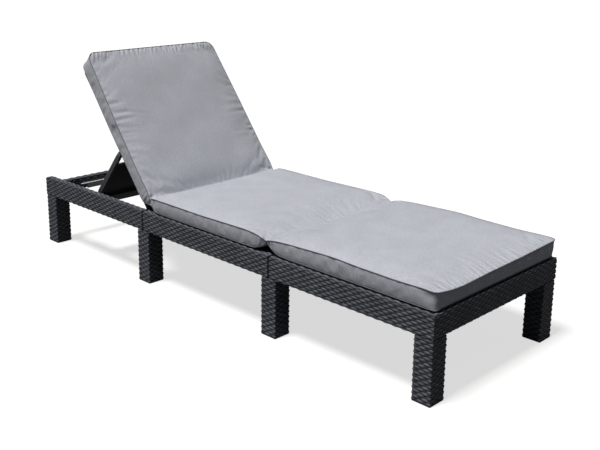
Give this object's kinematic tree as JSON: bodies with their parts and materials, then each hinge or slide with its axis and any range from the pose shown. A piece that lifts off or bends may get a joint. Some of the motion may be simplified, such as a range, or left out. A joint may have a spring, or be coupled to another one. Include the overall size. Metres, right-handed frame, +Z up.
{
  "type": "sun lounger",
  "caption": "Reclining sun lounger with a woven-look moulded frame on square legs, a hinged backrest held by a folding prop, and a long boxed cushion.",
  "frame": {"origin": "on the ground under the middle of the frame", "axes": "+X towards the foot end, +Z up, -Y the near side; the backrest is raised at the -X end"},
  "size_m": [1.95, 0.65, 0.7947],
  "materials": {
    "weave": "satin",
    "deck": "matte",
    "prop": "satin",
    "grip": "satin",
    "glide": "matte",
    "steel": "satin",
    "fabric": "matte"
  },
  "bodies": {
    "frame": {"side_rail_head_near": "weave", "side_rail_seat_near": "weave", "side_rail_foot_near": "weave", "leg_head_near": "weave", "leg_hinge_near": "weave", "leg_seat_near": "weave", "leg_foot_near": "weave", "glide_head_near": "glide", "glide_hinge_near": "glide", "glide_seat_near": "glide", "glide_foot_near": "glide", "screw_hinge_near": "steel", "screw_seat_inner_near": "steel", "screw_seat_outer_near": "steel", "hinge_pin_near": "steel", "rack_near": "prop", "side_rail_head_far": "weave", "side_rail_seat_far": "weave", "side_rail_foot_far": "weave", "leg_head_far": "weave", "leg_hinge_far": "weave", "leg_seat_far": "weave", "leg_foot_far": "weave", "glide_head_far": "glide", "glide_hinge_far": "glide", "glide_seat_far": "glide", "glide_foot_far": "glide", "screw_hinge_far": "steel", "screw_seat_inner_far": "steel", "screw_seat_outer_far": "steel", "hinge_pin_far": "steel", "rack_far": "prop", "cross_rail_head": "weave", "cross_rail_foot": "weave", "hinge_beam": "deck", "seat_beam": "deck", "seat_deck": "deck", "foot_deck": "deck", "head_grip": "grip", "cushion_seat": "fabric", "cushion_foot": "fabric"},
    "backrest": {"backrest_deck": "deck", "hinge_bracket_near": "prop", "hinge_bracket_far": "prop", "prop_bracket_near": "prop", "prop_bracket_far": "prop", "prop_pin_near": "steel", "prop_pin_far": "steel", "cushion_back": "fabric"},
    "prop": {"prop_arm_near": "prop", "prop_arm_far": "prop", "prop_foot_bar": "prop", "prop_cross_bar": "prop", "prop_cap_near": "glide", "prop_cap_far": "glide", "prop_web": "prop", "prop_toe": "prop"}
  },
  "joints": [
    {"name": "backrest_hinge", "type": "hinge", "parent": "frame", "child": "backrest", "pos_m": [-0.336, 0, 0.239], "axis": [0, 1, 0], "range_deg": [-51, 19]},
    {"name": "prop_swing", "type": "hinge", "parent": "backrest", "child": "prop", "pos_m": [-0.50088, 0, 0.44261], "axis": [0, 1, 0], "range_deg": [-38, 102]}
  ],
  "couplings": [
    {"joint": "prop_swing", "follows": "backrest_hinge", "ratio": -2}
  ]
}
